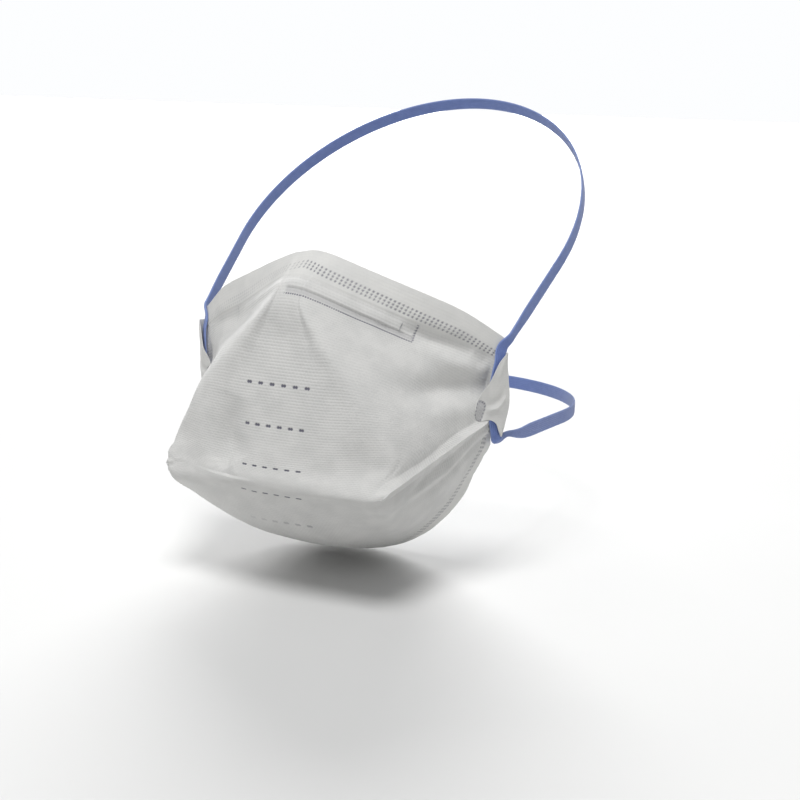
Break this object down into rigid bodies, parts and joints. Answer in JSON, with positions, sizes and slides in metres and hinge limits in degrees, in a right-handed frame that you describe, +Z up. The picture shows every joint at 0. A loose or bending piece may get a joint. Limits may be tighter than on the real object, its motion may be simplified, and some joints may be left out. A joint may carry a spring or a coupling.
{
  "type": "disposable dust mask",
  "caption": "Flat-fold duckbill dust mask: layered nonwoven pouch with a nose wire, bound rims and an elastic band run through side loops as head straps.",
  "frame": {"origin": "on the symmetry plane, midway between the two side strap loops, in the plane of the wearer's cheeks", "axes": "+X towards the wearer's left, +Y back towards the head (the beak points to -Y), +Z up"},
  "size_m": [0.1558, 0.2008, 0.1807],
  "materials": {
    "cover": "embossed white spunbond nonwoven, matt",
    "filter": "soft white melt-blown fleece",
    "liner": "smooth white nonwoven",
    "binding": "smooth white nonwoven tape with rows of weld dots",
    "wire": "soft bright strip",
    "elastic": "matt blue elastic band"
  },
  "bodies": {
    "mask": {"outer_cover_upper": "cover", "filter_upper": "filter", "inner_liner_upper": "liner", "upper_edge_binding": "binding", "nose_wire": "wire", "strap_loop_left": "cover", "strap_loop_right": "cover", "band_in_loop_left": "elastic", "band_in_loop_right": "elastic"},
    "lower_panel": {"outer_cover_lower": "cover", "filter_lower": "filter", "inner_liner_lower": "liner", "lower_edge_binding": "binding"},
    "upper_band": {"upper_band": "elastic"},
    "lower_band": {"lower_band": "elastic"}
  },
  "joints": [
    {"name": "pouch_fold", "type": "hinge", "parent": "mask", "child": "lower_panel", "pos_m": [0, -0.069, -0.0288], "axis": [1, 0, 0], "range_deg": [0, 40], "deforming": ["outer_cover_lower", "filter_lower", "inner_liner_lower", "lower_edge_binding"]},
    {"name": "upper_band_swing", "type": "hinge", "parent": "mask", "child": "upper_band", "pos_m": [0, -0.0042, 0.0205], "axis": [1, 0, 0], "range_deg": [-18, 130]},
    {"name": "lower_band_swing", "type": "hinge", "parent": "mask", "child": "lower_band", "pos_m": [0, -0.004, -0.019], "axis": [1, 0, 0], "range_deg": [-140, 8]}
  ]
}
